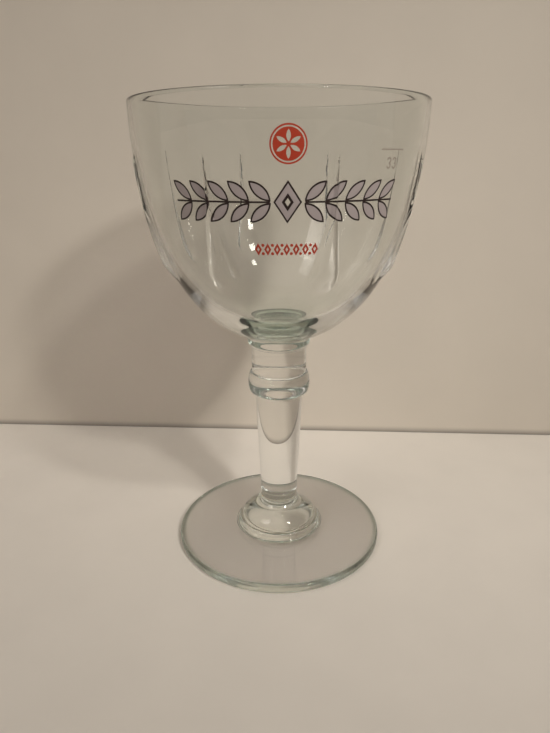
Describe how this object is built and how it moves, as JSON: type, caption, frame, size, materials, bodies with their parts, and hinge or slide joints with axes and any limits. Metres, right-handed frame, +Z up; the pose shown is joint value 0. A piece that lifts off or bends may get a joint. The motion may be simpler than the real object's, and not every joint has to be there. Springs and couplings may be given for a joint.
{
  "type": "chalice beer glass",
  "caption": "Stemmed chalice for beer with a wide ribbed bowl, a ringed solid stem, a flat foot and fired enamel ornament.",
  "frame": {"origin": "centre of the foot's underside, on the surface that the glass stands on", "axes": "+Z up along the axis of the glass; the middle of the enamel ornament faces -Y, with +X to its right"},
  "size_m": [0.1054, 0.1054, 0.176],
  "materials": {
    "bowl_glass": "clear fire-polished glass",
    "stem_glass": "clear pressed glass with a faint green tint",
    "grey_enamel": "fired pale grey enamel",
    "brown_enamel": "fired dark brown enamel",
    "red_enamel": "fired brick red enamel",
    "mark_enamel": "thin fired grey enamel"
  },
  "bodies": {
    "root": {"bowl": "bowl_glass", "stem": "stem_glass", "foot": "stem_glass", "band_fill_print": "grey_enamel", "band_outline_print": "brown_enamel", "roundel_print": "red_enamel", "row_print": "red_enamel", "capacity_print": "mark_enamel"}
  },
  "joints": []
}
